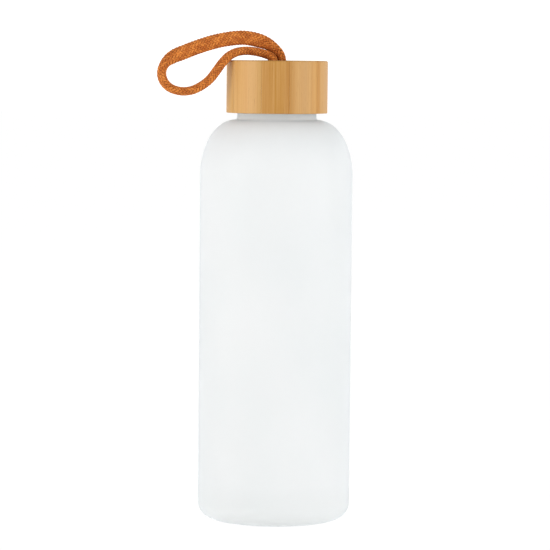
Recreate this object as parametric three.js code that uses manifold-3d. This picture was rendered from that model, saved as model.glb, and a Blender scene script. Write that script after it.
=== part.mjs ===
// A 500 ml frosted glass water bottle with a screw-on bamboo lid and a flat braided carry loop.
//
// Units are millimetres and +Z is up. The origin is the centre of the face the bottle stands on.
// The lid is drawn screwed home, and the loop lies over the lid's rim towards -X.

import * as THREE from 'three';
import { mergeVertices } from 'three/addons/utils/BufferGeometryUtils.js';
import Module from 'manifold-3d';

const wasm = await Module();
wasm.setup();

// ---------------------------------------------------------------------------
// Driving dimensions
// ---------------------------------------------------------------------------

const turnSegments = 48; // facets round every turned piece

// Glass body
const bodyRadius = 33.9;
const wall = 2.5;
const standingRingInner = 20; // the bottle stands on a flat ring, with a hollow inside it
const hollowDepth = 2.4;
const heelRadius = 7; // rounding between the standing ring and the wall
const floorTop = 6; // height of the inner floor beside the wall
const floorDomeRadius = 12; // the inner floor rises over the hollow, most of the way by this radius
const floorDomeShoulder = 1.1; // its rise there
const floorDomeRise = 1.6; // and its rise in the middle
const innerHeelRadius = 6;
const shoulderStart = 153.5; // height where the wall starts to curve in
const shoulderWidth = 15.5; // the shoulder is a quarter of an ellipse, this wide
const shoulderHeight = 24.5; // and this high
const innerShoulderWidth = 14.5; // the inner face is an ellipse too
const innerShoulderHeight = 22.3;
const innerShoulderEnd = 84; // degrees up the inner ellipse, where the neck's bore begins
const innerNeckStart = 1; // the bore's straight wall starts this far above the shoulder

// Neck finish, 38 mm size with a single-start right-hand thread
const neckRadius = 17.6;
const neckFillet = 1.1;
const mouthRadius = 15;
const rimHeight = 190.1;
const lipRound = 1;
const threadPitch = 4.2333;
const threadTurns = 1.25;
const threadStartHeight = 182.7;
const threadFadeSteps = 4; // facets over which each end of a ridge fades away
const threadRootOverlap = 0.3; // how far a ridge reaches into its wall
const threadTip = 0.15 / threadFadeSteps; // share of the full ridge that is left at its tips
const glassRidge = { baseHalf: 1.1, crestHalf: 0.45, height: 1.1 };

// Lid
const lidBottom = 181.1;
const lidHeight = 23.2;
const lidRadius = 22.5;
const lidTopRound = 0.8;
const lidBottomRound = 0.3;
const lidTop = lidBottom + lidHeight;
const stripJoints = [-19.1, -6.8, 5.4, 17.7]; // planes across X where the strips are glued
const glueGap = 0.1;
const linerPocketRadius = 20.3;
const linerPocketTop = 193.1;
const knotPocketRadius = 9.5;
const knotPocketTop = 200.1;
const cordHoleRadius = 4.3;
const cordHoleChamfer = 0.5;

// Seal ring, lying on the glass rim
const sealInner = 13.8;
const sealOuter = 18.6;
const sealBottom = 190.15;
const sealThickness = 1.6;
const sealEdge = 0.3;

// Threaded inner cap
const linerOuter = 20.1;
const linerInner = 19.05;
const linerBottom = 181.5;
const linerCeiling = 191.8;
const linerTop = 193;
const linerEdge = 0.4;
const linerRidge = { baseHalf: 0.8, crestHalf: 0.35, height: 1.1 };
const linerLead = 0.25; // plain wall below the liner's ridge
const ridgeDrop = 1.55; // the liner's ridge sits this far below the glass ridge that it bears on

// Flat braided cord
const cordWidth = 6.5;
const cordThickness = 3.9;
const cordSides = 12;
const cordSteps = 44;
const loopBearing = THREE.MathUtils.degToRad(21); // the loop lies this far round from -X to -Y
const strandOffset = 2; // the two strands lie side by side in the hole
const strandMeetHeight = 202.8; // where the loop ends and the strands of the knot begin
const meetGap = 0.4; // clear height between the loop's ends and the knot's strands
const straightInHole = 1; // the loop's ends rise straight for this far
const firstTwist = [0.02, 0.17]; // shares of the loop over which it makes each quarter turn
const secondTwist = [0.39, 0.49];
const knotRadius = 8;
const knotHeight = 6;
const knotBottom = 193.6;

// Points on the middle of the loop, from the hole over the top, round the end and back again.
const loopRoute = [
  [1.8, 0.6, 204.6],
  [1.4, 0.2, 206.2],
  [0.1, -0.8, 208.3],
  [-3.6, -1.8, 211.2],
  [-8.7, -3.2, 213.2],
  [-14.7, -4.8, 214.2],
  [-21.3, -6.4, 213.7],
  [-27.9, -8.0, 212.3],
  [-34.3, -9.5, 210.3],
  [-40.7, -11.0, 207.8],
  [-45.9, -12.3, 205.5],
  [-49.3, -13.3, 202.6],
  [-50.7, -14.0, 199.0],
  [-50.0, -14.4, 195.3],
  [-47.4, -14.6, 192.3],
  [-43.2, -14.4, 190.7],
  [-38.2, -13.8, 190.8],
  [-33.5, -13.0, 192.8],
  [-29.6, -12.1, 195.9],
  [-26.8, -11.2, 199.5],
  [-24.3, -10.4, 203.0],
  [-21.6, -9.3, 205.9],
  [-18.4, -7.9, 207.7],
  [-15.1, -6.4, 208.4],
  [-11.8, -4.9, 208.4],
  [-8.4, -3.3, 207.9],
  [-5.2, -1.8, 207.0],
  [-2.6, -1.0, 205.8],
];

// ---------------------------------------------------------------------------
// Materials
// ---------------------------------------------------------------------------

function plainMaterial(color, roughness) {
  return new THREE.MeshStandardMaterial({ color, roughness, metalness: 0 });
}

const frostedGlass = plainMaterial('#e6ecec', 0.55);
frostedGlass.transparent = true;
frostedGlass.opacity = 0.6;
const bambooTones = ['#dca566', '#e0b077', '#c4935a', '#deb27b', '#dbb088'];
const polypropylene = plainMaterial('#eeeeea', 0.4);
const silicone = plainMaterial('#f2f3f0', 0.5);
const cordYarn = plainMaterial('#cf7434', 0.85);

// ---------------------------------------------------------------------------
// Outline helpers. A turned outline is a list of (radius, height) points.
// ---------------------------------------------------------------------------

function ellipsePoints(centreR, centreZ, radiusR, radiusZ, fromDegrees, toDegrees, steps) {
  const points = [];
  for (let i = 0; i <= steps; i += 1) {
    const degrees = fromDegrees + ((toDegrees - fromDegrees) * i) / steps;
    const angle = THREE.MathUtils.degToRad(degrees);
    const r = centreR + radiusR * Math.cos(angle);
    const z = centreZ + radiusZ * Math.sin(angle);
    points.push(new THREE.Vector2(r, z));
  }
  return points;
}

function arcPoints(centreR, centreZ, radius, fromDegrees, toDegrees, steps) {
  return ellipsePoints(centreR, centreZ, radius, radius, fromDegrees, toDegrees, steps);
}

function linePoints(...pairs) {
  return pairs.map(([r, z]) => new THREE.Vector2(r, z));
}

// Turns an outline about Z. It runs anticlockwise in the (radius, height) plane.
function turned(outline) {
  const geometry = new THREE.LatheGeometry(outline, turnSegments);
  geometry.rotateX(Math.PI / 2);
  return geometry;
}

// ---------------------------------------------------------------------------
// Solid helpers: joining and cutting
// ---------------------------------------------------------------------------

function solidFrom(geometry) {
  const bare = geometry.clone();
  bare.deleteAttribute('normal');
  bare.deleteAttribute('uv');
  const merged = mergeVertices(bare, 1e-4);
  return new wasm.Manifold(
    new wasm.Mesh({
      numProp: 3,
      vertProperties: new Float32Array(merged.attributes.position.array),
      triVerts: new Uint32Array(merged.index.array),
    }),
  );
}

function geometryFrom(solid) {
  const mesh = solid.getMesh();
  const geometry = new THREE.BufferGeometry();
  geometry.setAttribute('position', new THREE.BufferAttribute(mesh.vertProperties, 3));
  geometry.setIndex(new THREE.BufferAttribute(mesh.triVerts, 1));
  geometry.computeVertexNormals();
  return geometry;
}

// ---------------------------------------------------------------------------
// Screw thread ridge: a trapezium swept along a helix that fades out at both ends.
// rootRadius is the wall it stands on, and side is +1 for an outer thread, -1 for an inner one.
// ---------------------------------------------------------------------------

function threadRidge({ rootRadius, side, ridge, startHeight, startDegrees }) {
  const stepDegrees = 360 / turnSegments;
  const steps = Math.round((threadTurns * 360) / stepDegrees);
  const positions = [];
  const indices = [];
  const corners = 4;
  for (let i = 0; i <= steps; i += 1) {
    const angle = THREE.MathUtils.degToRad(startDegrees + i * stepDegrees);
    const z = startHeight + (threadPitch * i) / turnSegments;
    const fade = Math.min(1, Math.min(i, steps - i) / threadFadeSteps + threadTip);
    const foot = rootRadius - side * threadRootOverlap;
    const crest = rootRadius + side * ridge.height * fade;
    const section = [
      [foot, -ridge.baseHalf * fade],
      [crest, -ridge.crestHalf * fade],
      [crest, ridge.crestHalf * fade],
      [foot, ridge.baseHalf * fade],
    ];
    for (const [r, dz] of section) {
      positions.push(r * Math.cos(angle), r * Math.sin(angle), z + dz);
    }
  }
  const addTriangle = (a, b, c) => {
    if (side > 0) indices.push(a, b, c);
    else indices.push(a, c, b);
  };
  for (let i = 0; i < steps; i += 1) {
    for (let k = 0; k < corners; k += 1) {
      const here = i * corners + k;
      const next = i * corners + ((k + 1) % corners);
      addTriangle(here, here + corners, next);
      addTriangle(next, here + corners, next + corners);
    }
  }
  const last = steps * corners;
  addTriangle(0, 1, 2);
  addTriangle(0, 2, 3);
  addTriangle(last, last + 2, last + 1);
  addTriangle(last, last + 3, last + 2);
  const geometry = new THREE.BufferGeometry();
  geometry.setAttribute('position', new THREE.Float32BufferAttribute(positions, 3));
  geometry.setIndex(indices);
  return geometry;
}

// ---------------------------------------------------------------------------
// Glass bottle
// ---------------------------------------------------------------------------

function glassOutline() {
  const hollowRadius = (standingRingInner ** 2 + hollowDepth ** 2) / (2 * hollowDepth);
  const hollowAngle = THREE.MathUtils.radToDeg(Math.asin(standingRingInner / hollowRadius));
  const underside = arcPoints(0, hollowDepth - hollowRadius, hollowRadius, 90, 90 - hollowAngle, 4);
  const heel = arcPoints(bodyRadius - heelRadius, heelRadius, heelRadius, -90, 0, 6);
  const shoulderCentre = bodyRadius - shoulderWidth;
  const shoulderTop = shoulderStart + shoulderHeight;
  const shoulder = ellipsePoints(
    shoulderCentre, shoulderStart, shoulderWidth, shoulderHeight, 0, 90, 11,
  );
  const neckFoot = arcPoints(
    neckRadius + neckFillet, shoulderTop + neckFillet, neckFillet, -90, -180, 3,
  );
  const lipOuter = arcPoints(neckRadius - lipRound, rimHeight - lipRound, lipRound, 0, 90, 3);
  const lipInner = arcPoints(mouthRadius + lipRound, rimHeight - lipRound, lipRound, 90, 180, 3);
  const innerNeck = linePoints([mouthRadius, shoulderTop + innerNeckStart]);
  const innerRadius = bodyRadius - wall;
  const innerShoulder = ellipsePoints(
    innerRadius - innerShoulderWidth, shoulderStart, innerShoulderWidth, innerShoulderHeight,
    innerShoulderEnd, 0, 9,
  );
  const innerHeel = arcPoints(
    innerRadius - innerHeelRadius, floorTop + innerHeelRadius, innerHeelRadius, 0, -90, 5,
  );
  const floor = linePoints(
    [floorDomeRadius, floorTop + floorDomeShoulder],
    [0, floorTop + floorDomeRise],
  );
  return [
    ...underside, ...heel, ...shoulder, ...neckFoot, ...lipOuter, ...lipInner,
    ...innerNeck, ...innerShoulder, ...innerHeel, ...floor,
  ];
}

function glassBottle() {
  const ridge = threadRidge({
    rootRadius: neckRadius,
    side: 1,
    ridge: glassRidge,
    startHeight: threadStartHeight,
    startDegrees: 0,
  });
  return geometryFrom(solidFrom(turned(glassOutline())).add(solidFrom(ridge)));
}

// ---------------------------------------------------------------------------
// Seal ring and threaded inner cap
// ---------------------------------------------------------------------------

function sealRing() {
  const top = sealBottom + sealThickness;
  return turned(linePoints(
    [sealInner + sealEdge, sealBottom],
    [sealOuter - sealEdge, sealBottom],
    [sealOuter, sealBottom + sealEdge],
    [sealOuter, top - sealEdge],
    [sealOuter - sealEdge, top],
    [sealInner + sealEdge, top],
    [sealInner, top - sealEdge],
    [sealInner, sealBottom + sealEdge],
    [sealInner + sealEdge, sealBottom],
  ));
}

function capLiner() {
  const cup = turned(linePoints(
    [0, linerCeiling],
    [linerInner - linerEdge, linerCeiling],
    [linerInner, linerCeiling - linerEdge],
    [linerInner, linerBottom + linerEdge],
    [linerInner + linerEdge, linerBottom],
    [linerOuter, linerBottom],
    [linerOuter, linerTop - linerEdge],
    [linerOuter - linerEdge, linerTop],
    [0, linerTop],
  ));
  const startHeight = linerBottom + linerRidge.baseHalf + linerLead;
  const climb = startHeight - (threadStartHeight - ridgeDrop);
  const ridge = threadRidge({
    rootRadius: linerInner,
    side: -1,
    ridge: linerRidge,
    startHeight,
    startDegrees: (climb / threadPitch) * 360,
  });
  return geometryFrom(solidFrom(cup).add(solidFrom(ridge)));
}

// ---------------------------------------------------------------------------
// Bamboo shell, glued from upright strips and turned
// ---------------------------------------------------------------------------

function bambooShell() {
  const bottomInner = linePoints([linerPocketRadius, lidBottom]);
  const bottomOuter = arcPoints(
    lidRadius - lidBottomRound, lidBottom + lidBottomRound, lidBottomRound, -90, 0, 1,
  );
  const topOuter = arcPoints(lidRadius - lidTopRound, lidTop - lidTopRound, lidTopRound, 0, 90, 3);
  const holeAndPockets = linePoints(
    [cordHoleRadius + cordHoleChamfer, lidTop],
    [cordHoleRadius, lidTop - cordHoleChamfer],
    [cordHoleRadius, knotPocketTop],
    [knotPocketRadius, knotPocketTop],
    [knotPocketRadius, linerPocketTop],
    [linerPocketRadius, linerPocketTop],
    [linerPocketRadius, lidBottom],
  );
  return solidFrom(turned([...bottomInner, ...bottomOuter, ...topOuter, ...holeAndPockets]));
}

function bambooStrips() {
  const shell = bambooShell();
  const reach = lidRadius + 1;
  const edges = [-reach, ...stripJoints, reach];
  const strips = [];
  for (let i = 0; i < edges.length - 1; i += 1) {
    const left = edges[i] + glueGap / 2;
    const right = edges[i + 1] - glueGap / 2;
    const slab = new THREE.BoxGeometry(right - left, 2 * reach, lidHeight + 2);
    slab.translate((left + right) / 2, 0, (lidBottom + lidTop) / 2);
    strips.push(geometryFrom(shell.intersect(solidFrom(slab))));
  }
  return strips;
}

// ---------------------------------------------------------------------------
// Cord
// ---------------------------------------------------------------------------

function smoothStep(from, to, value) {
  const t = Math.min(1, Math.max(0, (value - from) / (to - from)));
  return t * t * (3 - 2 * t);
}

// A path that turns the cord's section by a quarter turn twice. The flat faces look along the loop
// at the hole, sideways over the top run, and into and out of the loop from its end onwards.
class FlatCordPath extends THREE.CatmullRomCurve3 {
  computeFrenetFrames(segments) {
    const tangents = [];
    const normals = [];
    const binormals = [];
    const sideways = new THREE.Vector3(Math.sin(loopBearing), -Math.cos(loopBearing), 0);
    for (let i = 0; i <= segments; i += 1) {
      const u = i / segments;
      const tangent = this.getTangentAt(u);
      const quarterTurns = smoothStep(...firstTwist, u) + smoothStep(...secondTwist, u);
      const binormal = sideways.clone().addScaledVector(tangent, -sideways.dot(tangent)).normalize();
      binormal.applyAxisAngle(tangent, (quarterTurns * Math.PI) / 2);
      const normal = new THREE.Vector3().crossVectors(binormal, tangent);
      tangents.push(tangent);
      normals.push(normal);
      binormals.push(binormal);
    }
    return { tangents, normals, binormals };
  }
}

function cordSection() {
  const section = new THREE.Shape();
  section.absellipse(0, 0, cordThickness / 2, cordWidth / 2, 0, 2 * Math.PI);
  return new THREE.Shape(section.getSpacedPoints(cordSides).slice(0, cordSides));
}

// The points where one strand stands straight up in the hole, as it leaves the knot.
function strandInHole(side) {
  const alongLoop = new THREE.Vector3(side * strandOffset, 0, strandMeetHeight);
  alongLoop.applyAxisAngle(new THREE.Vector3(0, 0, 1), loopBearing);
  const above = alongLoop.clone();
  above.z += straightInHole;
  return [alongLoop, above];
}

function cordLoop() {
  const route = loopRoute.map((point) => new THREE.Vector3(...point));
  const points = [...strandInHole(1), ...route, ...strandInHole(-1).reverse()];
  const extrudePath = new FlatCordPath(points);
  const sweep = { extrudePath, steps: cordSteps, bevelEnabled: false };
  return new THREE.ExtrudeGeometry(cordSection(), sweep);
}

function cordKnot() {
  const middle = knotBottom + knotHeight / 2;
  let knot = solidFrom(turned(ellipsePoints(0, middle, knotRadius, knotHeight / 2, -90, 90, 8)));
  for (const side of [1, -1]) {
    const depth = strandMeetHeight - meetGap - middle;
    const strand = new THREE.ExtrudeGeometry(cordSection(), { depth, bevelEnabled: false });
    strand.translate(side * strandOffset, 0, middle);
    strand.rotateZ(loopBearing);
    knot = knot.add(solidFrom(strand));
  }
  return geometryFrom(knot);
}

// ---------------------------------------------------------------------------
// Assembly
// ---------------------------------------------------------------------------

const bottle = new THREE.Group();

function addPiece(parent, name, geometry, material) {
  const mesh = new THREE.Mesh(geometry, material);
  mesh.name = name;
  parent.add(mesh);
}

const lid = new THREE.Group();
bottle.add(lid);

addPiece(bottle, 'glass_bottle', glassBottle(), frostedGlass);
addPiece(lid, 'seal_ring', sealRing(), silicone);
addPiece(lid, 'cap_liner', capLiner(), polypropylene);
bambooStrips().forEach((strip, i) => {
  addPiece(lid, `bamboo_strip_${i + 1}`, strip, plainMaterial(bambooTones[i], 0.5));
});
addPiece(lid, 'cord_knot', cordKnot(), cordYarn);
addPiece(lid, 'cord_loop', cordLoop(), cordYarn);

export default bottle;
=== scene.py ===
"""Looks for a frosted glass water bottle with a screw-on bamboo lid and a braided carry loop.

The scene is in metres, +Z up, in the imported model's frame. The bottle stands on z = 0, its front
faces -Y, and the loop lies over the lid's rim towards -X. The object's own dimensions are written in
millimetres and become metres where its vertices are made.
"""
import math

import bmesh
import bpy
import numpy as np
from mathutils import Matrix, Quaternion, Vector


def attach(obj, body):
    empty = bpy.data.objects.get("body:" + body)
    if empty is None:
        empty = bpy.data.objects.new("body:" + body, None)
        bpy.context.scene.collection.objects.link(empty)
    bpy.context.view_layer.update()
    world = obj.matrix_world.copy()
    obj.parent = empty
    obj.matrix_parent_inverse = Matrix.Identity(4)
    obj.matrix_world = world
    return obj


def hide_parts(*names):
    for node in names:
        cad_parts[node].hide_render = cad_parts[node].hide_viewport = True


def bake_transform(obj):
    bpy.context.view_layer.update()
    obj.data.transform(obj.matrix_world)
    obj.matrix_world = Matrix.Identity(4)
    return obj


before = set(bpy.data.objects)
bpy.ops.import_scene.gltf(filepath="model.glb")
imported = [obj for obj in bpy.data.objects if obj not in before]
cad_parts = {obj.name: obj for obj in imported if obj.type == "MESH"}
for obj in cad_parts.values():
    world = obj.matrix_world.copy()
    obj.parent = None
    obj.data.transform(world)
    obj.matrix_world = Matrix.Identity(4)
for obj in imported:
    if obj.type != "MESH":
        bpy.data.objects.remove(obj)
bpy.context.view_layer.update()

MM = 0.001

# ---------------------------------------------------------------------------
# Dimensions, in millimetres, as on the CAD model
# ---------------------------------------------------------------------------

SEGMENTS = 192  # facets round every turned piece
THREAD_ROWS = 66  # rings up a threaded wall, close enough to draw its ridge

BODY_RADIUS = 33.9
WALL = 2.5
STANDING_RING_INNER = 20
HOLLOW_DEPTH = 2.4
HEEL_RADIUS = 7
FLOOR_TOP = 6
FLOOR_DOME_RADIUS = 12  # the inner floor rises over the hollow, most of the way by this radius
FLOOR_DOME_SHOULDER = 1.1  # its rise there
FLOOR_DOME_RISE = 1.6  # and its rise in the middle
INNER_HEEL_RADIUS = 6
SHOULDER_START = 153.5
SHOULDER_WIDTH = 15.5  # the shoulder is a quarter of an ellipse, this wide
SHOULDER_HEIGHT = 24.5  # and this high
INNER_SHOULDER_WIDTH = 14.5
INNER_SHOULDER_HEIGHT = 22.3
INNER_SHOULDER_END = 84  # degrees up the inner ellipse, where the neck's bore begins
INNER_NECK_START = 1  # the bore's straight wall starts this far above the shoulder

NECK_RADIUS = 17.6
NECK_FILLET = 1.1
MOUTH_RADIUS = 15
RIM_HEIGHT = 190.1
LIP_ROUND = 1
THREAD_PITCH = 4.2333
THREAD_TURNS = 1.25
THREAD_START = 182.7
THREAD_FADE_TURNS = 1 / 12  # turns over which each end of a ridge fades away
GLASS_RIDGE = (1.1, 0.45, 1.1)  # half of a ridge's width at its base and at its crest, and its height
LINER_RIDGE = (0.8, 0.35, 1.1)
LINER_LEAD = 0.25  # plain wall below the liner's ridge
RIDGE_DROP = 1.55  # the liner's ridge sits this far below the glass ridge that it bears on

LID_BOTTOM = 181.1
LID_TOP = 204.3
LID_RADIUS = 22.5
LID_TOP_ROUND = 0.8
LID_BOTTOM_ROUND = 0.3
STRIP_JOINTS = (-19.1, -6.8, 5.4, 17.7)  # planes across X where the strips are glued
GLUE_GAP = 0.03  # narrower than the CAD model's gap, as a glue line looks
LINER_POCKET_RADIUS = 20.3
LINER_POCKET_TOP = 193.1
KNOT_POCKET_RADIUS = 9.5
KNOT_POCKET_TOP = 200.1
CORD_HOLE_RADIUS = 4.3
CORD_HOLE_ROUND = 0.5

SEAL_INNER = 13.8
SEAL_OUTER = 18.6
SEAL_BOTTOM = 190.15
SEAL_TOP = 191.75
SEAL_EDGE = 0.35

LINER_OUTER = 20.1
LINER_INNER = 19.05
LINER_BOTTOM = 181.5
LINER_CEILING = 191.8
LINER_TOP = 193
LINER_EDGE = 0.4

CORD_WIDTH = 6.5
CORD_THICKNESS = 3.9
LOOP_BEARING = math.radians(21)  # the loop leaves the hole this far round from -X to -Y
STRAND_OFFSET = 2  # the two strands lie side by side in the hole
STRAND_MEET_HEIGHT = 202.8  # where the loop ends and the strands of the knot begin
MEET_GAP = 0.4  # clear height between the loop's ends and the knot's strands
STRAIGHT_IN_HOLE = 1  # the loop's ends rise straight for this far
FIRST_TWIST = (0.02, 0.17)  # shares of the loop over which it makes each quarter turn
SECOND_TWIST = (0.39, 0.49)
KNOT_TURNS = 1.2
KNOT_RADII = (4.3, 5.6)  # from the knot's axis to the cord's middle, at its start and its end
KNOT_MIDDLE = 196.7

# The middle of the loop, from the hole over the top, round the end and back again.
LOOP_ROUTE = [
    (1.8, 0.6, 204.6),
    (1.4, 0.2, 206.2),
    (0.1, -0.8, 208.3),
    (-3.6, -1.8, 211.2),
    (-8.7, -3.2, 213.2),
    (-14.7, -4.8, 214.2),
    (-21.3, -6.4, 213.7),
    (-27.9, -8.0, 212.3),
    (-34.3, -9.5, 210.3),
    (-40.7, -11.0, 207.8),
    (-45.9, -12.3, 205.5),
    (-49.3, -13.3, 202.6),
    (-50.7, -14.0, 199.0),
    (-50.0, -14.4, 195.3),
    (-47.4, -14.6, 192.3),
    (-43.2, -14.4, 190.7),
    (-38.2, -13.8, 190.8),
    (-33.5, -13.0, 192.8),
    (-29.6, -12.1, 195.9),
    (-26.8, -11.2, 199.5),
    (-24.3, -10.4, 203.0),
    (-21.6, -9.3, 205.9),
    (-18.4, -7.9, 207.7),
    (-15.1, -6.4, 208.4),
    (-11.8, -4.9, 208.4),
    (-8.4, -3.3, 207.9),
    (-5.2, -1.8, 207.0),
    (-2.6, -1.0, 205.8),
]

# ---------------------------------------------------------------------------
# Camera
# ---------------------------------------------------------------------------

CAMERA_PLACE = (-0.0002, -1.25, 0.2094)  # metres
CAMERA_PITCH = math.radians(-4.6)
CAMERA_ROLL = math.radians(0.5)
CAMERA_LENS = 183.9  # millimetres, as is the sensor's width
CAMERA_SENSOR = 36
CAMERA_REACH = 20  # metres, past the far edge of the floor


def make_camera():
    camera = bpy.data.objects.new("camera", bpy.data.cameras.new("camera"))
    bpy.context.scene.collection.objects.link(camera)
    camera.data.sensor_width = CAMERA_SENSOR
    camera.data.lens = CAMERA_LENS
    camera.data.clip_end = CAMERA_REACH
    camera.location = CAMERA_PLACE
    camera.rotation_mode = "QUATERNION"
    upright = Quaternion((1, 0, 0), math.radians(90) + CAMERA_PITCH)
    camera.rotation_quaternion = upright @ Quaternion((0, 0, 1), CAMERA_ROLL)
    bpy.context.scene.camera = camera


make_camera()

# ---------------------------------------------------------------------------
# Material helpers
# ---------------------------------------------------------------------------


class Paint:
    """A node material with one Principled shader and short ways to add the usual nodes."""

    def __init__(self, name, **sockets):
        self.material = bpy.data.materials.new(name)
        self.material.use_nodes = True
        self.tree = self.material.node_tree
        self.tree.nodes.clear()
        self.shader = self.node("ShaderNodeBsdfPrincipled")
        output = self.node("ShaderNodeOutputMaterial")
        self.link(self.shader.outputs["BSDF"], output.inputs["Surface"])
        for socket, value in sockets.items():
            self.shader.inputs[socket.replace("_", " ")].default_value = value

    def node(self, kind, **settings):
        made = self.tree.nodes.new(kind)
        for key, value in settings.items():
            setattr(made, key, value)
        return made

    def link(self, source, target):
        self.tree.links.new(source, target)

    def feed(self, socket, source):
        self.link(source, self.shader.inputs[socket])

    def place(self, across=1, along=None):
        """Object coordinates, in repeats a metre across X and Y, and along Z where that differs."""
        coordinates = self.node("ShaderNodeTexCoord")
        mapping = self.node("ShaderNodeMapping")
        mapping.inputs["Scale"].default_value = (across, across, across if along is None else along)
        self.link(coordinates.outputs["Object"], mapping.inputs["Vector"])
        return mapping.outputs["Vector"]

    def axis(self, name):
        """One object coordinate, in metres."""
        axes = self.node("ShaderNodeSeparateXYZ")
        self.link(self.place(), axes.inputs["Vector"])
        return axes.outputs[name]

    def attribute(self, name):
        return self.node("ShaderNodeAttribute", attribute_name=name).outputs["Fac"]

    def noise(self, vector, detail=2.0, roughness=0.5):
        made = self.node("ShaderNodeTexNoise")
        made.inputs["Scale"].default_value = 1
        made.inputs["Detail"].default_value = detail
        made.inputs["Roughness"].default_value = roughness
        self.link(vector, made.inputs["Vector"])
        return made.outputs["Fac"]

    def cells(self, vector):
        """The distance from the middle of the nearest of many scattered cells."""
        made = self.node("ShaderNodeTexVoronoi")
        made.inputs["Scale"].default_value = 1
        self.link(vector, made.inputs["Vector"])
        return made.outputs["Distance"]

    def spread(self, value, low, high, to_low=0.0, to_high=1.0):
        """Maps low..high to to_low..to_high, held at the ends."""
        made = self.node("ShaderNodeMapRange")
        self.link(value, made.inputs["Value"])
        ends = (("From Min", low), ("From Max", high), ("To Min", to_low), ("To Max", to_high))
        for socket, number in ends:
            made.inputs[socket].default_value = number
        return made.outputs["Result"]

    def calculate(self, operation, *values):
        made = self.node("ShaderNodeMath", operation=operation)
        for socket, value in zip(made.inputs, values):
            if isinstance(value, (int, float)):
                socket.default_value = value
            else:
                self.link(value, socket)
        return made.outputs["Value"]

    def blend(self, share, first, second):
        """The first colour where share is 0, and the second where it is 1."""
        made = self.node("ShaderNodeMix", data_type="RGBA")
        self.link(share, made.inputs["Factor"])
        for name, colour in (("A_Color", first), ("B_Color", second)):
            socket = next(socket for socket in made.inputs if socket.identifier == name)
            if isinstance(colour, tuple):
                socket.default_value = (*colour, 1)
            else:
                self.link(colour, socket)
        return next(socket for socket in made.outputs if socket.identifier == "Result_Color")

    def ramp(self, value, stops):
        """stops is a list of (place, colour)."""
        made = self.node("ShaderNodeValToRGB")
        elements = made.color_ramp.elements
        while len(elements) < len(stops):
            elements.new(0.5)
        for element, (where, colour) in zip(elements, stops):
            element.position = where
            element.color = (*colour, 1)
        self.link(value, made.inputs["Fac"])
        return made.outputs["Color"]

    def bump(self, height, distance, strength=1.0, onto=None):
        """height is 0..1, and distance is how far 1 stands up, in metres."""
        made = self.node("ShaderNodeBump")
        made.inputs["Strength"].default_value = strength
        made.inputs["Distance"].default_value = distance
        self.link(height, made.inputs["Height"])
        if onto is not None:
            self.link(onto, made.inputs["Normal"])
        return made.outputs["Normal"]


def linear(red, green, blue):
    """An sRGB colour in 0..255 as the linear colour that shaders take."""
    def channel(value):
        value /= 255
        return value / 12.92 if value <= 0.04045 else ((value + 0.055) / 1.055) ** 2.4
    return channel(red), channel(green), channel(blue)


# ---------------------------------------------------------------------------
# Mesh helpers
# ---------------------------------------------------------------------------


def add_piece(name, vertices, faces, material, sharp_degrees=50):
    """A mesh object, smooth apart from edges sharper than sharp_degrees."""
    mesh = bpy.data.meshes.new(name)
    mesh.from_pydata([tuple(v) for v in vertices], [], faces)
    mesh.materials.append(material)
    mesh.shade_smooth()
    mesh.set_sharp_from_angle(angle=math.radians(sharp_degrees))
    piece = bpy.data.objects.new(name, mesh)
    bpy.context.scene.collection.objects.link(piece)
    return piece


def ellipse_points(centre_r, centre_z, radius_r, radius_z, start, end, steps):
    """(radius, height) points on an ellipse from start to end degrees."""
    angles = np.radians(np.linspace(start, end, steps + 1))
    return [(centre_r + radius_r * math.cos(a), centre_z + radius_z * math.sin(a)) for a in angles]


def arc_points(centre_r, centre_z, radius, start, end, steps):
    return ellipse_points(centre_r, centre_z, radius, radius, start, end, steps)


def turned(outline, shape=None):
    """Vertices and faces of an outline in mm turned about Z.

    The outline runs anticlockwise in the (radius, height) plane. It closes on itself unless it
    starts and ends on the axis. shape(angles, radius, height) may change the radii of a ring.
    """
    angles = np.arange(SEGMENTS) * 2 * math.pi / SEGMENTS
    vertices = []
    rings = []
    for radius, height in outline:
        if radius == 0:
            rings.append([len(vertices)])
            vertices.append((0, 0, height * MM))
            continue
        radii = np.full(SEGMENTS, radius) if shape is None else shape(angles, radius, height)
        rings.append(list(range(len(vertices), len(vertices) + SEGMENTS)))
        xs = radii * np.cos(angles) * MM
        ys = radii * np.sin(angles) * MM
        vertices.extend(zip(xs, ys, np.full(SEGMENTS, height * MM)))
    pairs = list(zip(rings, rings[1:]))
    if len(rings[0]) > 1:
        pairs.append((rings[-1], rings[0]))
    faces = []
    for lower, upper in pairs:
        for i in range(SEGMENTS):
            j = (i + 1) % SEGMENTS
            if len(lower) == 1:
                faces.append((lower[0], upper[j], upper[i]))
            elif len(upper) == 1:
                faces.append((lower[i], lower[j], upper[0]))
            else:
                faces.append((lower[i], lower[j], upper[j], upper[i]))
    return vertices, faces


def smooth_step(start, end, value):
    t = np.clip((value - start) / (end - start), 0, 1)
    return t * t * (3 - 2 * t)


def thread_height(angles, height, start_height, start_degrees, ridge):
    """How far a helical ridge stands off its wall at one height, for each angle round it."""
    base_half, crest_half, ridge_height = ridge
    standing = np.zeros(len(angles))
    for turn in range(-1, 4):
        turns = (angles - math.radians(start_degrees)) / (2 * math.pi) + turn
        offset = np.abs(height - start_height - THREAD_PITCH * turns)
        fade = smooth_step(0, THREAD_FADE_TURNS, np.minimum(turns, THREAD_TURNS - turns))
        flank = smooth_step(base_half, crest_half, offset)
        standing = np.maximum(standing, ridge_height * flank * fade)
    return standing


# ---------------------------------------------------------------------------
# Cord: a flat tubular braid, every yarn a swept body of its own (in millimetres)
# ---------------------------------------------------------------------------

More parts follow.
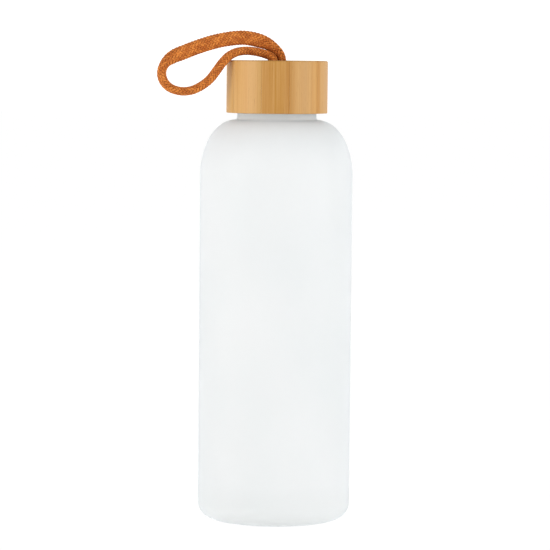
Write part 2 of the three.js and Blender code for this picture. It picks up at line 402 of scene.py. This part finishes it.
YARNS_EACH_WAY = 12
BRAID_ANGLE = math.radians(38)  # between a yarn and the cord
YARN_WIDTH = 1.06
YARN_THICKNESS = 0.56
YARN_SWING = 0.2  # how far a yarn rises and dips as it goes over and under
YARN_DWELL = 1.25  # over 1, a yarn runs level for a while at the top and bottom of its swing
YARN_SWELL = 0.07  # how much thicker and thinner a yarn gets along its length, as a share
YARN_SIDES = 6
PLY_LENGTH = 0.0009  # metres along a yarn from one ply to the next
CORE_INSET = YARN_THICKNESS + 1.4 * YARN_SWING  # from the braid's outside to its filling
CORE_SIDES = 16
SCATTER = 12.9898  # radians from yarn to yarn, so that the sines of their numbers look random
STATION_STEP = 0.32  # between the rings of a yarn, along the cord
CORE_STEP = 3  # stations between the rings of the filling
CURVE_STEPS = 24  # between two points of the loop's route
SECTION_STEPS = 720  # round the braid's section
KNOT_STEPS = 199  # along the knot's turn

ALONG_LOOP = np.array([math.cos(LOOP_BEARING), math.sin(LOOP_BEARING), 0])
ACROSS_LOOP = np.array([math.sin(LOOP_BEARING), -math.cos(LOOP_BEARING), 0])
UP = np.array([0, 0, 1])


def unit(vectors):
    return vectors / np.linalg.norm(vectors, axis=-1, keepdims=True)


def even_line(points, step):
    """Points at an even step along a polyline, and how far along it each one is."""
    travelled = np.concatenate([[0], np.cumsum(np.linalg.norm(np.diff(points, axis=0), axis=1))])
    even = np.linspace(0, travelled[-1], int(travelled[-1] / step) + 1)
    return np.column_stack([np.interp(even, travelled, points[:, k]) for k in range(3)]), even


def smooth_line(points, step):
    """A centripetal Catmull-Rom curve through the points, at an even step."""
    padded = np.vstack([2 * points[0] - points[1], points, 2 * points[-1] - points[-2]])
    fine = []
    for i in range(1, len(padded) - 2):
        p0, p1, p2, p3 = padded[i - 1:i + 3]
        k1 = np.linalg.norm(p1 - p0) ** 0.5
        k2 = k1 + np.linalg.norm(p2 - p1) ** 0.5
        k3 = k2 + np.linalg.norm(p3 - p2) ** 0.5
        for t in np.linspace(k1, k2, CURVE_STEPS, endpoint=False):
            a1 = p0 * (k1 - t) / k1 + p1 * t / k1
            a2 = p1 * (k2 - t) / (k2 - k1) + p2 * (t - k1) / (k2 - k1)
            a3 = p2 * (k3 - t) / (k3 - k2) + p3 * (t - k2) / (k3 - k2)
            b1 = a1 * (k2 - t) / k2 + a2 * t / k2
            b2 = a2 * (k3 - t) / (k3 - k1) + a3 * (t - k1) / (k3 - k1)
            fine.append(b1 * (k2 - t) / (k2 - k1) + b2 * (t - k1) / (k2 - k1))
    return even_line(np.array([*fine, points[-1]]), step)


class Braid:
    """Collects the yarns of one or more flat braided strands as one mesh.

    A strand is a line of stations, how far along it each one is, and the directions of its thickness
    and of its width there. Thickness, width and the line's heading are a right-handed frame.
    """

    def __init__(self):
        self.vertices = []
        self.faces = []
        self.facts = {"yarn_along": [], "yarn_shade": [], "yarn_crown": []}

    def add_tube(self, rings, along, shade, crown):
        """rings has one row of points for each station. The ends are closed.

        along is metres along the yarn, shade picks its dye from 0 to 1, and crown is 1 where a yarn
        stands out most and negative deep in the braid; the paint turns low crowns dark as painted
        shade.
        """
        stations, sides = rings.shape[:2]
        first = len(self.vertices)
        self.vertices.extend(rings.reshape(-1, 3) * MM)
        for i in range(stations - 1):
            for k in range(sides):
                here = first + i * sides + k
                after = first + i * sides + (k + 1) % sides
                self.faces.append((here, after, after + sides, here + sides))
        last = first + (stations - 1) * sides
        self.faces.append(tuple(first + k for k in reversed(range(sides))))
        self.faces.append(tuple(last + k for k in range(sides)))
        for key, values in (("yarn_along", along), ("yarn_shade", shade), ("yarn_crown", crown)):
            self.facts[key].append(np.broadcast_to(values, (stations, sides)).reshape(-1))

    def add_strand(self, line, even, thickness_way, width_way):
        for way in (1, -1):
            for yarn in range(YARNS_EACH_WAY):
                self.add_yarn(line, even, thickness_way, width_way, way, yarn)
        self.add_core(line, thickness_way, width_way)

    def add_yarn(self, line, even, thickness_way, width_way, way, yarn):
        half_thickness = CORD_THICKNESS / 2 - YARN_THICKNESS / 2 - YARN_SWING
        half_width = CORD_WIDTH / 2 - YARN_THICKNESS / 2 - YARN_SWING
        shares, angles, girth = section_table(half_thickness, half_width)
        turn_length = girth / math.tan(BRAID_ANGLE)
        crossing = turn_length / (2 * YARNS_EACH_WAY)
        share = (yarn / YARNS_EACH_WAY + way * even / turn_length) % 1
        angle = np.interp(share, shares, angles)[:, None]
        phase = math.pi / 2 * (2 * yarn + way * even / crossing - 0.5)  # over two yarns, under two
        rise = way * YARN_SWING * np.clip(YARN_DWELL * np.cos(phase), -1, 1)[:, None]
        outward = unit(thickness_way * np.cos(angle) / half_thickness
                       + width_way * np.sin(angle) / half_width)
        middle = (line + thickness_way * half_thickness * np.cos(angle)
                  + width_way * half_width * np.sin(angle) + outward * rise)
        heading = unit(np.gradient(middle, axis=0))
        sideways = unit(np.cross(outward, heading))
        outward = np.cross(heading, sideways)
        variety = math.sin(SCATTER * (yarn + 1) * (way + 3))  # -1 to 1, its own for each yarn
        swell_pace = 0.9 + 0.4 * variety  # radians a millimetre
        swell = 1 + YARN_SWELL * np.sin(even * swell_pace + 7 * variety)[:, None]
        corners = 2 * math.pi * np.arange(YARN_SIDES) / YARN_SIDES
        flat = sideways[:, None] * (YARN_WIDTH / 2 * swell * np.cos(corners))[:, :, None]
        tall = outward[:, None] * (YARN_THICKNESS / 2 * swell * np.sin(corners))[:, :, None]
        crown = (rise + YARN_THICKNESS / 2 * np.sin(corners)) / (YARN_SWING + YARN_THICKNESS / 2)
        along = even[:, None] * MM / math.cos(BRAID_ANGLE)
        self.add_tube(middle[:, None] + flat + tall, along, variety * 0.5 + 0.5, crown)

    def add_core(self, line, thickness_way, width_way):
        """The filling inside the braid, which closes the small gaps between its yarns."""
        corners = 2 * math.pi * np.arange(CORE_SIDES) / CORE_SIDES
        flat_reach = ((CORD_THICKNESS / 2 - CORE_INSET) * np.cos(corners))[:, None]
        tall_reach = ((CORD_WIDTH / 2 - CORE_INSET) * np.sin(corners))[:, None]
        stations = slice(None, None, CORE_STEP)
        flat = thickness_way[stations, None] * flat_reach
        tall = width_way[stations, None] * tall_reach
        # A crown of -1 paints the filling all in painted shade, dark through the gaps between the
        # yarns.
        self.add_tube(line[stations, None] + flat + tall, 0, 0, -1)

    def piece(self, name, material):
        made = add_piece(name, self.vertices, self.faces, material, sharp_degrees=180)
        for key, values in self.facts.items():
            layer = made.data.attributes.new(key, "FLOAT", "POINT")
            layer.data.foreach_set("value", np.concatenate(values).astype(np.float32))
        return made


def section_table(half_thickness, half_width):
    """Angles on an ellipse for even shares of its outline, and the outline's length."""
    angles = np.linspace(0, 2 * math.pi, SECTION_STEPS + 1)
    outline = np.column_stack([half_thickness * np.cos(angles), half_width * np.sin(angles)])
    gone = np.concatenate([[0], np.cumsum(np.linalg.norm(np.diff(outline, axis=0), axis=1))])
    return gone / gone[-1], angles, gone[-1]


def yarn_paint():
    """Dyed cotton with plies and loose fibres along each one, painted shade between the yarns and
    painted highlight on the fibres.
    """
    paint = Paint("dyed_cotton_yarn", Roughness=0.9, Specular_IOR_Level=0.2, Sheen_Weight=0.12,
                  Sheen_Roughness=0.45, Sheen_Tint=(1, 0.62, 0.3, 1))
    patches = paint.noise(paint.place(900), detail=3, roughness=0.6)
    fibres = paint.noise(paint.place(4200), roughness=0.7)
    tone = paint.blend(paint.attribute("yarn_shade"), linear(178, 88, 22), linear(218, 128, 50))
    tone = paint.blend(paint.spread(patches, 0.44, 0.66, 0, 0.5), tone, linear(150, 66, 12))
    # Painted highlight: lighter flecks where the loose fibres stand out.
    tone = paint.blend(paint.spread(fibres, 0.45, 0.75, 0, 0.55), tone, linear(240, 172, 104))
    # Painted shade: yarns darken where they dip into the braid, and the filling between them is
    # darkest.
    painted_crevice_shade = paint.spread(paint.attribute("yarn_crown"), 0.0, 0.8, 0.95, 0)
    tone = paint.blend(painted_crevice_shade, tone, linear(78, 32, 6))
    paint.feed("Base Color", tone)
    plies = paint.calculate("MULTIPLY", paint.attribute("yarn_along"), 2 * math.pi / PLY_LENGTH)
    twist = paint.bump(paint.calculate("SINE", plies), 0.00006, 0.8)
    paint.feed("Normal", paint.bump(fibres, 0.00008, 0.7, onto=twist))
    return paint.material


def loop_points():
    """The whole route: straight up out of the hole, round the loop, and straight down into it."""
    ends = []
    for side in (1, -1):
        foot = ALONG_LOOP * side * STRAND_OFFSET + UP * STRAND_MEET_HEIGHT
        ends.append([foot, foot + UP * STRAIGHT_IN_HOLE])
    return np.array([*ends[0], *LOOP_ROUTE, *reversed(ends[1])])


def loop_frames(line, even):
    """For each station, the directions of the cord's thickness and of its width."""
    tangent = unit(np.gradient(line, axis=0))
    share = even / even[-1]
    turn = (smooth_step(*FIRST_TWIST, share) + smooth_step(*SECOND_TWIST, share)) * math.pi / 2
    across = unit(ACROSS_LOOP - tangent * (tangent @ ACROSS_LOOP)[:, None])
    beside = np.cross(tangent, across)
    width = across * np.cos(turn)[:, None] + beside * np.sin(turn)[:, None]
    return np.cross(width, tangent), width


def make_knot(material):
    """The knot under the lid's hole: a round turn, and the two strands that rise from it."""
    braid = Braid()
    turn = np.linspace(0, KNOT_TURNS * 2 * math.pi, KNOT_STEPS + 1)
    radius = np.linspace(*KNOT_RADII, len(turn))
    height = np.full(len(turn), KNOT_MIDDLE)
    spiral = np.column_stack([radius * np.cos(turn), radius * np.sin(turn), height])
    line, even = even_line(spiral, STATION_STEP)
    outward = unit(line * (1, 1, 0))
    braid.add_strand(line, even, outward, np.tile(-UP, (len(line), 1)))
    for side in (1, -1):
        foot = ALONG_LOOP * side * STRAND_OFFSET
        ends = np.array([foot + UP * KNOT_MIDDLE, foot + UP * (STRAND_MEET_HEIGHT - MEET_GAP)])
        line, even = even_line(ends, STATION_STEP)
        ways = [np.tile(way, (len(line), 1)) for way in (ALONG_LOOP, -ACROSS_LOOP)]
        braid.add_strand(line, even, *ways)
    knot = braid.piece("carry_knot", material)
    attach(knot, "cord_anchor")
    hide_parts("cord_knot")
    return knot


def make_cord():
    material = yarn_paint()
    line, even = smooth_line(loop_points(), STATION_STEP)
    braid = Braid()
    braid.add_strand(line, even, *loop_frames(line, even))
    loop = braid.piece("carry_loop", material)
    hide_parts("cord_loop")
    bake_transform(loop)
    make_knot(material)


make_cord()

# ---------------------------------------------------------------------------
# Glass bottle
# ---------------------------------------------------------------------------


def glass_outline():
    hollow_radius = (STANDING_RING_INNER ** 2 + HOLLOW_DEPTH ** 2) / (2 * HOLLOW_DEPTH)
    hollow_angle = math.degrees(math.asin(STANDING_RING_INNER / hollow_radius))
    shoulder_centre = BODY_RADIUS - SHOULDER_WIDTH
    shoulder_top = SHOULDER_START + SHOULDER_HEIGHT
    inner_radius = BODY_RADIUS - WALL
    neck_low = shoulder_top + NECK_FILLET
    neck_high = RIM_HEIGHT - LIP_ROUND
    neck_rows = np.linspace(neck_low, neck_high, THREAD_ROWS)[1:-1]
    return [
        (0, HOLLOW_DEPTH),
        *arc_points(0, HOLLOW_DEPTH - hollow_radius, hollow_radius, 90, 90 - hollow_angle, 10)[1:],
        *arc_points(BODY_RADIUS - HEEL_RADIUS, HEEL_RADIUS, HEEL_RADIUS, -90, 0, 16),
        *[(BODY_RADIUS, z) for z in np.linspace(HEEL_RADIUS, SHOULDER_START, 12)[1:-1]],
        *ellipse_points(shoulder_centre, SHOULDER_START, SHOULDER_WIDTH, SHOULDER_HEIGHT, 0, 90, 40),
        *arc_points(NECK_RADIUS + NECK_FILLET, neck_low, NECK_FILLET, -90, -180, 6),
        *[(NECK_RADIUS, z) for z in neck_rows],
        *arc_points(NECK_RADIUS - LIP_ROUND, neck_high, LIP_ROUND, 0, 90, 6),
        *arc_points(MOUTH_RADIUS + LIP_ROUND, neck_high, LIP_ROUND, 90, 180, 6),
        (MOUTH_RADIUS, shoulder_top + INNER_NECK_START),
        *ellipse_points(inner_radius - INNER_SHOULDER_WIDTH, SHOULDER_START, INNER_SHOULDER_WIDTH,
                        INNER_SHOULDER_HEIGHT, INNER_SHOULDER_END, 0, 30),
        *arc_points(inner_radius - INNER_HEEL_RADIUS, FLOOR_TOP + INNER_HEEL_RADIUS,
                    INNER_HEEL_RADIUS, 0, -90, 12),
        (FLOOR_DOME_RADIUS, FLOOR_TOP + FLOOR_DOME_SHOULDER),
        (0, FLOOR_TOP + FLOOR_DOME_RISE),
    ]


def glass_thread(angles, radius, height):
    """Raises the screw ridge out of the neck's outer wall."""
    if not math.isclose(radius, NECK_RADIUS):
        return np.full(len(angles), radius)
    return radius + thread_height(angles, height, THREAD_START, 0, GLASS_RIDGE)


def glass_paint():
    """Etched glass: milky, matt, fine grained, and greyer low down, as heel tint and painted shade.
    """
    paint = Paint("frosted_glass", IOR=1.5, Transmission_Weight=0.4, Sheen_Weight=0.3,
                  Sheen_Roughness=0.4, Sheen_Tint=(0.8, 0.92, 1, 1))
    grain = paint.noise(paint.place(5200), roughness=0.6)
    cloud = paint.noise(paint.place(38, along=22), detail=3)
    cloudy = paint.spread(cloud, 0.35, 0.65)
    etched = paint.blend(cloudy, linear(249, 251, 251), linear(252, 253, 253))
    # Greyer towards the bottom, up to 18 mm: partly the tint of the thicker glass at the heel, partly
    # painted shade near the floor.
    heel_tint_and_painted_shade = paint.spread(paint.axis("Z"), 0.003, 0.018, 0.25, 0)
    paint.feed("Base Color", paint.blend(heel_tint_and_painted_shade, etched, linear(205, 208, 205)))
    slow_change = paint.spread(cloud, 0.3, 0.7, 0.44, 0.56)
    fine_change = paint.spread(grain, 0.3, 0.7, -0.05, 0.05)
    paint.feed("Roughness", paint.calculate("ADD", slow_change, fine_change))
    paint.feed("Normal", paint.bump(grain, 0.00002, 0.5))
    return paint.material


def make_bottle():
    bottle = add_piece("frosted_bottle", *turned(glass_outline(), glass_thread), glass_paint())
    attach(bottle, "bottle")
    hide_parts("glass_bottle")


make_bottle()

# ---------------------------------------------------------------------------
# Seal ring and threaded inner cap
# ---------------------------------------------------------------------------


def seal_paint():
    paint = Paint("silicone", Roughness=0.45, IOR=1.41, Subsurface_Weight=0.2,
                  Subsurface_Radius=(0.001, 0.001, 0.001))
    mottle = paint.noise(paint.place(900), detail=3)
    paint.feed("Base Color", paint.blend(mottle, linear(232, 234, 230), linear(244, 245, 242)))
    paint.feed("Normal", paint.bump(mottle, 0.00002, 0.4))
    return paint.material


def make_seal():
    inner = SEAL_INNER + SEAL_EDGE
    outer = SEAL_OUTER - SEAL_EDGE
    low = SEAL_BOTTOM + SEAL_EDGE
    high = SEAL_TOP - SEAL_EDGE
    corners = ((outer, low, -90), (outer, high, 0), (inner, high, 90), (inner, low, 180))
    outline = []
    for radius, height, start in corners:
        outline += arc_points(radius, height, SEAL_EDGE, start, start + 90, 5)
    seal = add_piece("silicone_seal", *turned(outline), seal_paint())
    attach(seal, "seal")
    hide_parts("seal_ring")


def liner_paint():
    paint = Paint("polypropylene", IOR=1.49, Subsurface_Weight=0.15,
                  Subsurface_Radius=(0.002, 0.002, 0.002))
    flow = paint.noise(paint.place(120, along=60), detail=3)
    texture = paint.noise(paint.place(3000))
    paint.feed("Base Color", paint.blend(flow, linear(233, 233, 228), linear(243, 243, 240)))
    paint.feed("Roughness", paint.spread(flow, 0.3, 0.7, 0.34, 0.46))
    paint.feed("Normal", paint.bump(texture, 0.00002, 0.4))
    return paint.material


def liner_thread(angles, radius, height):
    """Raises the screw ridge inwards from the liner's inner wall."""
    if not math.isclose(radius, LINER_INNER):
        return np.full(len(angles), radius)
    base_half = LINER_RIDGE[0]
    start_height = LINER_BOTTOM + base_half + LINER_LEAD
    climb = start_height - (THREAD_START - RIDGE_DROP)
    start_degrees = climb / THREAD_PITCH * 360
    return radius - thread_height(angles, height, start_height, start_degrees, LINER_RIDGE)


def make_liner():
    edge = LINER_EDGE
    rows = np.linspace(LINER_CEILING - edge, LINER_BOTTOM + edge, THREAD_ROWS)[1:-1]
    outline = [
        (0, LINER_CEILING),
        *arc_points(LINER_INNER - edge, LINER_CEILING - edge, edge, 90, 0, 5),
        *[(LINER_INNER, z) for z in rows],
        *arc_points(LINER_INNER + edge, LINER_BOTTOM + edge, edge, 180, 270, 5),
        *arc_points(LINER_OUTER - edge, LINER_BOTTOM + edge, edge, -90, 0, 5),
        *arc_points(LINER_OUTER - edge, LINER_TOP - edge, edge, 0, 90, 5),
        (0, LINER_TOP),
    ]
    liner = add_piece("threaded_liner", *turned(outline, liner_thread), liner_paint())
    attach(liner, "lid")
    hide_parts("cap_liner")


make_seal()
make_liner()

# ---------------------------------------------------------------------------
# Bamboo shell
# ---------------------------------------------------------------------------

# The tones across each strip, as (share of its width, sRGB colour).
STRIP_TONES = (
    ((0, (195, 150, 92)), (1, (196, 149, 75))),
    ((0, (200, 153, 86)), (0.45, (205, 158, 97)), (0.75, (200, 156, 96)), (0.9, (189, 145, 82)),
     (1, (183, 138, 74))),
    ((0, (178, 129, 61)), (0.15, (175, 124, 56)), (0.5, (172, 122, 49)), (0.8, (177, 127, 57)),
     (1, (164, 113, 44))),
    ((0, (170, 119, 51)), (0.12, (182, 135, 73)), (0.3, (191, 146, 85)), (0.6, (189, 145, 88)),
     (0.9, (195, 146, 81)), (1, (187, 135, 66))),
    ((0, (180, 128, 57)), (0.12, (183, 131, 63)), (0.3, (193, 147, 86)), (1, (193, 147, 88))),
)
STRIP_SHARP_DEGREES = 35  # edges of a strip that are sharper than this look sharp


def bamboo_outline():
    """The lid's shell, with extra rings on its wall and its top that keep the faces well shaped."""
    return [
        (LINER_POCKET_RADIUS, LID_BOTTOM),
        *arc_points(LID_RADIUS - LID_BOTTOM_ROUND, LID_BOTTOM + LID_BOTTOM_ROUND, LID_BOTTOM_ROUND,
                    -90, 0, 4),
        *[(LID_RADIUS, z) for z in np.linspace(LID_BOTTOM + 1, LID_TOP - 1, 6)],
        *arc_points(LID_RADIUS - LID_TOP_ROUND, LID_TOP - LID_TOP_ROUND, LID_TOP_ROUND, 0, 90, 8),
        (14, LID_TOP),
        (8, LID_TOP),
        *arc_points(CORD_HOLE_RADIUS + CORD_HOLE_ROUND, LID_TOP - CORD_HOLE_ROUND, CORD_HOLE_ROUND,
                    90, 180, 6),
        (CORD_HOLE_RADIUS, KNOT_POCKET_TOP),
        (KNOT_POCKET_RADIUS, KNOT_POCKET_TOP),
        (KNOT_POCKET_RADIUS, LINER_POCKET_TOP),
        (LINER_POCKET_RADIUS, LINER_POCKET_TOP),
    ]


def cut_strip(vertices, faces, left, right):
    """The part of a closed mesh between two planes across X, with its cut faces closed."""
    strip = bmesh.new()
    made = [strip.verts.new(vertex) for vertex in vertices]
    for face in faces:
        strip.faces.new([made[i] for i in face])
    for where, outwards in ((left, -1), (right, 1)):
        cut = bmesh.ops.bisect_plane(
            strip, geom=[*strip.verts, *strip.edges, *strip.faces],
            plane_co=(where * MM, 0, 0), plane_no=(outwards, 0, 0), clear_outer=True)
        rim = [part for part in cut["geom_cut"] if isinstance(part, bmesh.types.BMEdge)]
        if rim:
            bmesh.ops.triangle_fill(strip, use_beauty=True, edges=rim)
    bmesh.ops.recalc_face_normals(strip, faces=strip.faces)
    return strip


def bamboo_paint(number, left, right):
    """Upright bamboo: fibre bundles run along Z, as lines on the sides and dots on the end grain."""
    paint = Paint(f"bamboo_{number}", IOR=1.45, Specular_IOR_Level=0.35, Coat_Weight=0.05,
                  Coat_Roughness=0.35)
    across = paint.spread(paint.axis("X"), left * MM, right * MM)
    tone = paint.ramp(across, [(where, linear(*colour)) for where, colour in STRIP_TONES[number]])
    bundles = paint.cells(paint.place(1250, along=9))
    fibres = paint.noise(paint.place(2600, along=26), detail=3, roughness=0.6)
    bands = paint.noise(paint.place(420, along=5))
    pores = paint.noise(paint.place(5200, along=260), detail=1)
    tone = paint.blend(paint.spread(bands, 0.4, 0.7, 0, 0.25), tone, linear(188, 130, 66))
    tone = paint.blend(paint.spread(fibres, 0.45, 0.75, 0, 0.25), tone, linear(232, 190, 134))
    tone = paint.blend(paint.spread(bundles, 0.1, 0.3, 0.3, 0), tone, linear(158, 104, 50))
    tone = paint.blend(paint.spread(pores, 0.66, 0.74, 0, 0.3), tone, linear(132, 84, 42))
    paint.feed("Base Color", tone)
    paint.feed("Roughness", paint.spread(fibres, 0.3, 0.7, 0.42, 0.6))
    relief = paint.bump(fibres, 0.00005, 0.5)
    paint.feed("Normal", paint.bump(bundles, 0.00004, 0.4, onto=relief))
    return paint.material


def make_bamboo():
    vertices, faces = turned(bamboo_outline())
    edges = (-LID_RADIUS - 1, *STRIP_JOINTS, LID_RADIUS + 1)
    for number, (left, right) in enumerate(zip(edges, edges[1:])):
        strip = cut_strip(vertices, faces, left + GLUE_GAP / 2, right - GLUE_GAP / 2)
        piece = add_piece(f"lid_strip_{number + 1}", [], [], bamboo_paint(number, left, right))
        strip.to_mesh(piece.data)
        strip.free()
        piece.data.shade_smooth()
        piece.data.set_sharp_from_angle(angle=math.radians(STRIP_SHARP_DEGREES))
        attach(piece, "lid")
        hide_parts(f"bamboo_strip_{number + 1}")


make_bamboo()

# ---------------------------------------------------------------------------
# Floor and light, in metres
# ---------------------------------------------------------------------------

FLOOR_REACH = 8  # from the middle to each side
SOFTBOX_SIZE = (0.35, 1.0)
SOFTBOX_WATTS = 6
SOFTBOX_AIM = (0, 0, 0.11)  # about half way up the bottle
SKY_STRENGTH = 1.27  # at the horizon
SKY_OVERHEAD = 0.49  # share of that which is left overhead
SKY_FALL_END = 0.8  # the sine of the height above the horizon where the fall ends


def make_floor():
    """A white floor that glows evenly, so that it runs into the white surroundings with no edge."""
    reach = FLOOR_REACH
    corners = [(-reach, -reach, 0), (reach, -reach, 0), (reach, reach, 0), (-reach, reach, 0)]
    paint = Paint("floor", Base_Color=(0.15, 0.15, 0.15, 1), Roughness=1, Specular_IOR_Level=0,
                  Emission_Color=(1, 1, 1, 1), Emission_Strength=0.89)
    floor = add_piece("floor", corners, [(0, 1, 2, 3)], paint.material)


def add_softbox(name, place, colour):
    light = bpy.data.lights.new(name, "AREA")
    light.shape = "RECTANGLE"
    light.size, light.size_y = SOFTBOX_SIZE
    light.energy = SOFTBOX_WATTS
    light.color = colour
    box = bpy.data.objects.new(name, light)
    bpy.context.scene.collection.objects.link(box)
    box.location = place
    box.rotation_mode = "QUATERNION"
    box.rotation_quaternion = (Vector(SOFTBOX_AIM) - Vector(place)).to_track_quat("-Z", "Y")


def make_light():
    """White surroundings, brightest at the horizon, and a softbox on each side."""
    world = bpy.data.worlds.new("studio")
    bpy.context.scene.world = world
    world.use_nodes = True
    tree = world.node_tree
    background = tree.nodes["Background"]
    background.inputs["Strength"].default_value = SKY_STRENGTH
    direction = tree.nodes.new("ShaderNodeTexCoord")
    axes = tree.nodes.new("ShaderNodeSeparateXYZ")
    fall = tree.nodes.new("ShaderNodeMapRange")
    fall.interpolation_type = "SMOOTHSTEP"
    ends = (("From Min", 0), ("From Max", SKY_FALL_END), ("To Min", 1), ("To Max", SKY_OVERHEAD))
    for socket, value in ends:
        fall.inputs[socket].default_value = value
    tree.links.new(direction.outputs["Generated"], axes.inputs["Vector"])
    tree.links.new(axes.outputs["Z"], fall.inputs["Value"])
    tree.links.new(fall.outputs["Result"], background.inputs["Color"])
    bpy.context.scene.view_settings.view_transform = "Standard"
    add_softbox("left_softbox", (-1.13, -0.65, 0.35), (1, 1, 1))
    add_softbox("right_softbox", (1.13, -0.65, 0.35), (0.95, 0.98, 1))


make_floor()
make_light()
